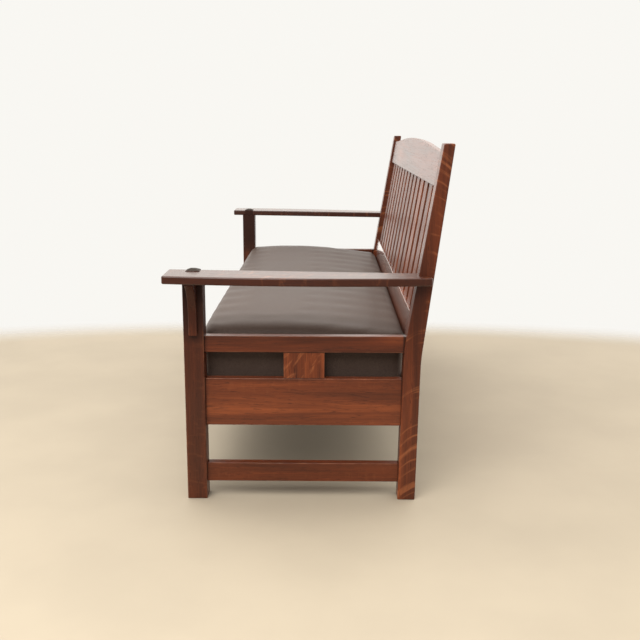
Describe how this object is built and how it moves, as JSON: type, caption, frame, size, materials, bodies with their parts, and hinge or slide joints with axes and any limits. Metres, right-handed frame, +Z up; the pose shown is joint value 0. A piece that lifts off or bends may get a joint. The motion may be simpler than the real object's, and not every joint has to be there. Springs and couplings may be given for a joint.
{
  "type": "slatted settle",
  "caption": "Oak settle with a raked slatted back, arched crest, flat arms on corbels and a leather drop-in seat.",
  "frame": {"origin": "on the floor under the middle of the settle's bounding box", "axes": "+X to the right-hand end seen from the front, -Y to the front, +Z up"},
  "size_m": [1.9262, 0.7471, 0.9691],
  "materials": {
    "oak": "fumed oak, satin",
    "inner_hardwood": "plain, unfinished",
    "seat_leather": "soft sheen",
    "seat_foam": "open-cell foam",
    "webbing": "jute weave",
    "dust_cover": "thin black cloth"
  },
  "bodies": {
    "frame": {"arm_dowels": "inner_hardwood", "arm_left": "oak", "arm_right": "oak", "back_post_left": "oak", "back_post_right": "oak", "back_seat_rail": "oak", "back_slat_01": "oak", "back_slat_02": "oak", "back_slat_03": "oak", "back_slat_04": "oak", "back_slat_05": "oak", "back_slat_06": "oak", "back_slat_07": "oak", "back_slat_08": "oak", "back_slat_09": "oak", "back_slat_10": "oak", "back_slat_11": "oak", "back_slat_12": "oak", "back_slat_13": "oak", "back_slat_14": "oak", "corbel_left": "oak", "corbel_right": "oak", "crest_rail": "oak", "front_post_left": "oak", "front_post_right": "oak", "front_seat_rail": "oak", "lower_back_rail": "oak", "lower_side_rail_left": "oak", "lower_side_rail_right": "oak", "seat_bearer": "inner_hardwood", "seat_cleat_back_left": "inner_hardwood", "seat_cleat_back_right": "inner_hardwood", "seat_cleat_front_left": "inner_hardwood", "seat_cleat_front_right": "inner_hardwood", "seat_cleat_side_left": "inner_hardwood", "seat_cleat_side_right": "inner_hardwood", "side_block_left": "oak", "side_block_right": "oak", "side_stretcher_left": "oak", "side_stretcher_right": "oak", "upper_side_rail_left": "oak", "upper_side_rail_right": "oak"},
    "seat": {"seat_dust_cover": "dust_cover", "seat_foam": "seat_foam", "seat_frame_back": "inner_hardwood", "seat_frame_brace_left": "inner_hardwood", "seat_frame_brace_right": "inner_hardwood", "seat_frame_end_left": "inner_hardwood", "seat_frame_end_right": "inner_hardwood", "seat_frame_front": "inner_hardwood", "seat_leather": "seat_leather", "seat_webbing_cross": "webbing", "seat_webbing_long": "webbing"}
  },
  "joints": [
    {"name": "seat_lift", "type": "slide", "parent": "frame", "child": "seat", "axis": [0, 0, 1], "range_m": [0, 0.3]}
  ]
}
